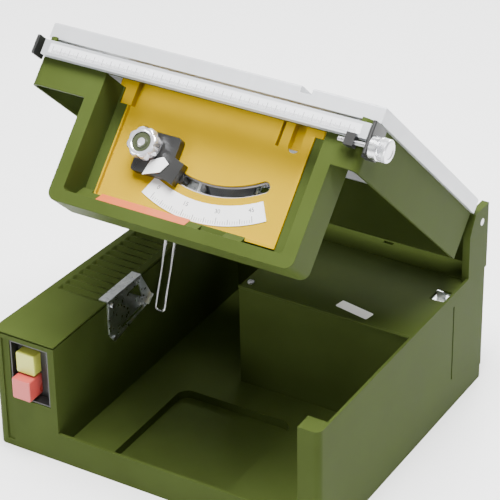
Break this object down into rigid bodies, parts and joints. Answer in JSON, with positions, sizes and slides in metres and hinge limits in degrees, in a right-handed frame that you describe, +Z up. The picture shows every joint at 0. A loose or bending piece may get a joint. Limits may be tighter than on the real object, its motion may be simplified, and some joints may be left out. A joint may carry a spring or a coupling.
{
  "type": "bench table saw",
  "caption": "Compact bench table saw: open base with a hinged cast table unit, tilting motor unit, knob on an arc slot, guide rail and switch.",
  "frame": {"origin": "on the bench plane under the feet, midway between the base's right side and its mean left side, 222 mm behind the front face", "axes": "+X to the user's right, +Y to the rear (towards the hinge), +Z up"},
  "size_m": [0.4225, 0.381, 0.4499],
  "materials": {
    "green_plastic": "moulded green ABS, fine grain",
    "cast_aluminium": "machined and polished casting",
    "extruded_aluminium": "satin",
    "yellow_plastic": "moulded, semi-gloss",
    "white_plastic": "printed scale",
    "black_plastic": "moulded",
    "clear_knob": "bright plated",
    "steel": "bright",
    "galvanised": "zinc plated",
    "painted_steel": "satin grey paint",
    "cream_plastic": "gloss",
    "red_plastic": "gloss",
    "rubber": "matt",
    "red_label": "blank label film",
    "copper_stack": "laminations and windings",
    "board": "circuit board"
  },
  "bodies": {
    "base": {"base_housing": "green_plastic", "wing_cover": "green_plastic", "deck_cover": "green_plastic", "deck_label": "white_plastic", "deck_catch": "galvanised", "deck_screws": "steel", "feet": "rubber", "switch_housing": "black_plastic", "switch_block": "black_plastic", "circuit_board": "board", "cable_gland": "black_plastic", "stay_bracket": "galvanised", "bracket_screws": "steel", "hinge_pins": "steel"},
    "start_button": {"start_button": "cream_plastic"},
    "stop_button": {"stop_button": "red_plastic"},
    "table_unit": {"saw_table": "cast_aluminium", "table_insert": "cast_aluminium", "upper_housing": "green_plastic", "tilt_panel": "yellow_plastic", "arc_track": "steel", "arc_scale": "white_plastic", "lip_label": "red_label", "rail_bracket": "black_plastic", "rail_end_block": "black_plastic", "rear_arc_bracket": "galvanised", "stay_lug": "galvanised", "stay_pin": "steel", "panel_screws": "steel"},
    "stay": {"lid_stay": "steel"},
    "rail": {"guide_rail": "extruded_aluminium", "rail_scale": "white_plastic"},
    "drum": {"adjust_drum": "extruded_aluminium", "adjust_spindle": "steel"},
    "swing": {"swing_frame": "galvanised", "guide_rods": "steel", "knob_arm": "black_plastic", "tilt_pointer": "white_plastic"},
    "knob": {"height_knob": "clear_knob", "pinion_shaft": "steel"},
    "carriage": {"motor_carriage": "painted_steel", "height_rack": "steel", "motor_housing": "painted_steel", "motor_stator": "copper_stack", "motor_flange": "painted_steel", "motor_bearings": "steel", "motor_brushes": "black_plastic", "arbor_bearings": "steel", "drive_belt": "rubber"},
    "arbor": {"arbor_shaft": "steel", "saw_blade": "steel", "blade_flanges": "steel", "arbor_nut": "steel", "arbor_pulley": "extruded_aluminium"},
    "rotor": {"armature": "copper_stack", "motor_pulley": "extruded_aluminium"}
  },
  "joints": [
    {"name": "lid_hinge", "type": "hinge", "parent": "base", "child": "table_unit", "pos_m": [0, 0.135, 0.205], "axis": [1, 0, 0], "range_deg": [0, 44]},
    {"name": "start_press", "type": "slide", "parent": "base", "child": "start_button", "axis": [0, 1, 0], "range_m": [0, 0.003], "stiffness_N_per_m": 400, "springref_m": -0.003},
    {"name": "stop_press", "type": "slide", "parent": "base", "child": "stop_button", "axis": [0, 1, 0], "range_m": [0, 0.003], "stiffness_N_per_m": 400, "springref_m": -0.003},
    {"name": "stay_swing", "type": "hinge", "parent": "table_unit", "child": "stay", "pos_m": [0, 0.01371, 0.24567], "axis": [1, 0, 0], "range_deg": [-97.6, 0]},
    {"name": "rail_shift", "type": "slide", "parent": "table_unit", "child": "rail", "axis": [1, 0, 0], "range_m": [-0.003, 0.003]},
    {"name": "drum_turn", "type": "hinge", "parent": "table_unit", "child": "drum", "pos_m": [0, -0.13835, 0.42866], "axis": [1, 0, 0], "range_deg": [-1081, 1081]},
    {"name": "tilt", "type": "hinge", "parent": "table_unit", "child": "swing", "pos_m": [0.014, -0.09129, 0.44716], "axis": [0, -0.7193, 0.6947], "range_deg": [0, 45]},
    {"name": "height_slide", "type": "slide", "parent": "swing", "child": "carriage", "axis": [0, 0.6947, 0.7193], "range_m": [0, 0.022]},
    {"name": "knob_turn", "type": "hinge", "parent": "swing", "child": "knob", "pos_m": [-0.05636, -0.1535, 0.37554], "axis": [0, -0.7193, 0.6947], "range_deg": [-0.5, 181]},
    {"name": "arbor_spin", "type": "hinge", "parent": "carriage", "child": "arbor", "pos_m": [0, -0.01907, 0.32042], "axis": [1, 0, 0], "continuous": true},
    {"name": "motor_spin", "type": "hinge", "parent": "carriage", "child": "rotor", "pos_m": [0, -0.07761, 0.31161], "axis": [1, 0, 0], "continuous": true}
  ],
  "couplings": [
    {"joint": "stay_swing", "follows": "lid_hinge", "ratio": -2.2068},
    {"joint": "drum_turn", "follows": "rail_shift", "rad_per_m": 6283.2},
    {"joint": "knob_turn", "follows": "height_slide", "rad_per_m": 142.86},
    {"joint": "motor_spin", "follows": "arbor_spin", "ratio": 1.2857}
  ]
}
